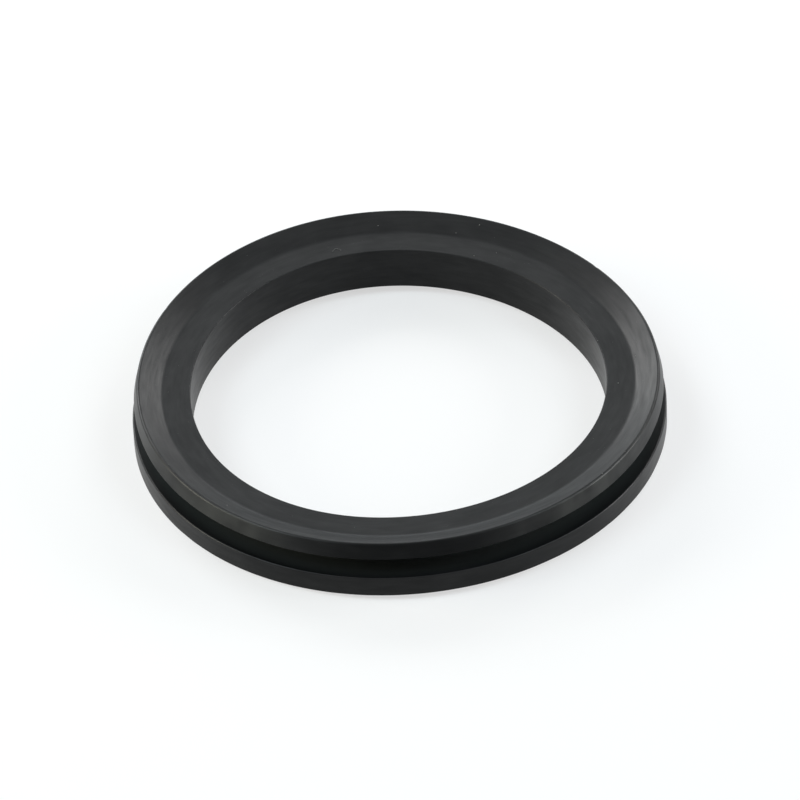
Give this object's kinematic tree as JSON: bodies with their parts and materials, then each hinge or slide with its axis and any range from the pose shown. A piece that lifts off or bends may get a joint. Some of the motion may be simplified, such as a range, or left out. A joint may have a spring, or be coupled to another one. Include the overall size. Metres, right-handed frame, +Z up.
{
  "type": "u cup seal",
  "caption": "Black rubber U-cup ring seal with a plain bore, a solid heel and two lips that open radially outward.",
  "frame": {"origin": "on the bore axis, in the plane of the lower lip's rim, on which the ring stands", "axes": "+Z up along the bore axis, towards the dished upper lip; X and Y lie in the rim plane and are alike"},
  "size_m": [0.0644, 0.0644, 0.0073],
  "materials": {
    "rubber": "smooth moulded black nitrile rubber with a soft satin sheen"
  },
  "bodies": {
    "root": {"seal_ring": "rubber"}
  },
  "joints": []
}
